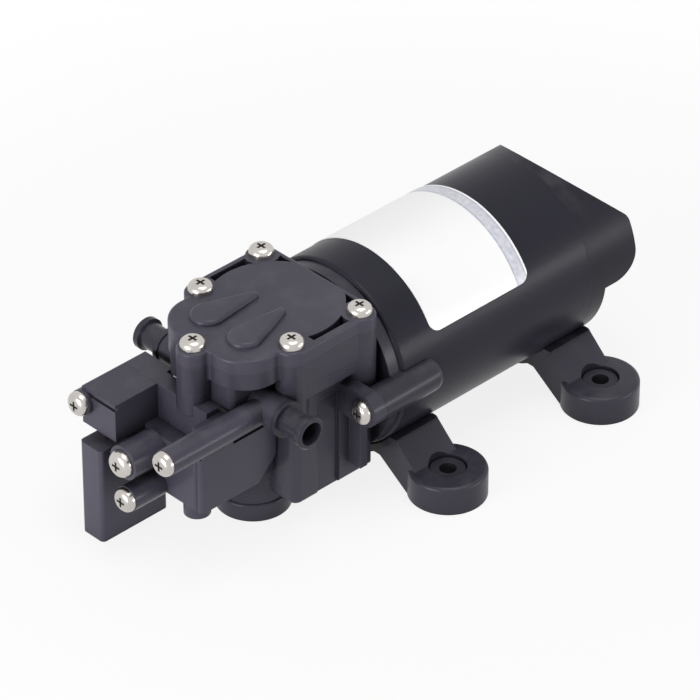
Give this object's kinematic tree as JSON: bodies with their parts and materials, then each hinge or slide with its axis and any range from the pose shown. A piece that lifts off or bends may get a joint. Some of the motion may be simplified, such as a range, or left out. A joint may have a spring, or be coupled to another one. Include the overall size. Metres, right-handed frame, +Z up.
{
  "type": "diaphragm water pump",
  "caption": "Compact electric diaphragm water pump: round motor on two saddle feet, square pump head with two hose barbs, and a pressure switch on its front.",
  "frame": {"origin": "on the surface the feet stand on, at the centre of the four foot holes", "axes": "+X along the motor's axis from the pump head to the motor's rear, +Z up, -Y towards the outlet barb"},
  "size_m": [0.1568, 0.0848, 0.0593],
  "materials": {
    "head_plastic": "moulded, fine satin grain",
    "cover_plastic": "moulded, fine satin grain",
    "flange_plastic": "moulded, satin",
    "cap_plastic": "moulded, satin",
    "can_paint": "satin black paint on rolled steel",
    "label_film": "white gloss film",
    "saddle_plastic": "moulded, satin",
    "grommet_rubber": "matt",
    "barb_plastic": "moulded, semi-gloss",
    "switch_plastic": "moulded, semi-gloss",
    "panel_plastic": "moulded, satin",
    "case_plastic": "moulded, satin",
    "button_plastic": "natural moulded",
    "screw_steel": "bright zinc plate",
    "adjuster_steel": "bright zinc plate",
    "seal_rubber": "smooth",
    "diaphragm_rubber": "smooth",
    "valve_rubber": "smooth",
    "bush_bronze": "sintered, dull",
    "magnet_ferrite": "sintered, matt",
    "core_steel": "stacked laminations",
    "winding_copper": "copper",
    "shaft_steel": "ground",
    "plate_laminate": "brown laminate",
    "terminal_brass": "stamped",
    "brush_carbon": "pressed carbon",
    "spring_steel": "drawn wire",
    "eccentric_alloy": "die cast",
    "bearing_steel": "ground",
    "rod_plastic": "glass-filled, natural"
  },
  "bodies": {
    "frame": {"barb_seals": "seal_rubber", "base_foot": "head_plastic", "brush_holders": "terminal_brass", "brush_plate": "plate_laminate", "brush_springs": "spring_steel", "brushes": "brush_carbon", "cover_screws": "screw_steel", "cover_seal": "seal_rubber", "diaphragm": "diaphragm_rubber", "field_magnets": "magnet_ferrite", "foot_grommets": "grommet_rubber", "front_bush": "bush_bronze", "front_saddle": "saddle_plastic", "inlet_barb": "barb_plastic", "lead_grommet": "grommet_rubber", "motor_can": "can_paint", "motor_front_flange": "flange_plastic", "motor_label": "label_film", "motor_rear_cap": "cap_plastic", "motor_screws": "screw_steel", "outlet_barb": "barb_plastic", "pressure_diaphragm": "diaphragm_rubber", "pressure_ring": "bush_bronze", "pressure_spring": "spring_steel", "pump_cover": "cover_plastic", "pump_housing": "head_plastic", "rear_bush": "bush_bronze", "rear_saddle": "saddle_plastic", "saddle_screws": "screw_steel", "switch_blade": "spring_steel", "switch_body": "switch_plastic", "switch_case": "case_plastic", "switch_cover": "switch_plastic", "switch_lid": "case_plastic", "switch_panel": "panel_plastic", "switch_screws": "screw_steel", "switch_terminals": "terminal_brass", "valve_plate": "head_plastic"},
    "rotor": {"motor_shaft": "shaft_steel", "armature_core": "core_steel", "armature_windings": "winding_copper", "commutator": "winding_copper", "eccentric": "eccentric_alloy", "eccentric_screw": "screw_steel", "bearing_inner_ring": "bearing_steel"},
    "rod": {"connecting_rod": "rod_plastic", "bearing_outer_ring": "bearing_steel", "bearing_balls": "bearing_steel", "diaphragm_retainer": "shaft_steel", "diaphragm_screw": "screw_steel"},
    "adjuster": {"adjusting_screw": "adjuster_steel"},
    "intake_valve": {"inlet_valve": "valve_rubber"},
    "delivery_valve": {"outlet_valve": "valve_rubber"},
    "plunger": {"pressure_plunger": "button_plastic"},
    "button": {"switch_button": "button_plastic"}
  },
  "joints": [
    {"name": "shaft_spin", "type": "hinge", "parent": "frame", "child": "rotor", "pos_m": [-0.0572, 0, 0.032], "axis": [1, 0, 0], "continuous": true},
    {"name": "rod_swing", "type": "hinge", "parent": "rotor", "child": "rod", "pos_m": [-0.0572, 0, 0.0308], "axis": [1, 0, 0], "continuous": true, "deforming": ["diaphragm"]},
    {"name": "inlet_valve_lift", "type": "slide", "parent": "frame", "child": "intake_valve", "axis": [0, 0, 1], "range_m": [0, 0.0008], "stiffness_N_per_m": 20, "springref_m": -0.0005},
    {"name": "outlet_valve_lift", "type": "slide", "parent": "frame", "child": "delivery_valve", "axis": [0, 0, -1], "range_m": [0, 0.0008], "stiffness_N_per_m": 20, "springref_m": -0.0005},
    {"name": "plunger_slide", "type": "slide", "parent": "frame", "child": "plunger", "axis": [-1, 0, 0], "range_m": [0, 0.001], "stiffness_N_per_m": 400, "springref_m": -0.001, "deforming": ["pressure_spring"]},
    {"name": "button_slide", "type": "slide", "parent": "frame", "child": "button", "axis": [0, 1, 0], "range_m": [0, 0.0006]},
    {"name": "adjuster_turn", "type": "hinge", "parent": "frame", "child": "adjuster", "pos_m": [-0.1032, 0.0055, 0.028], "axis": [1, 0, 0], "range_deg": [-180, 180]}
  ],
  "couplings": [
    {"joint": "rod_swing", "follows": "shaft_spin", "ratio": -1},
    {"joint": "button_slide", "follows": "plunger_slide", "ratio": 0.6}
  ]
}
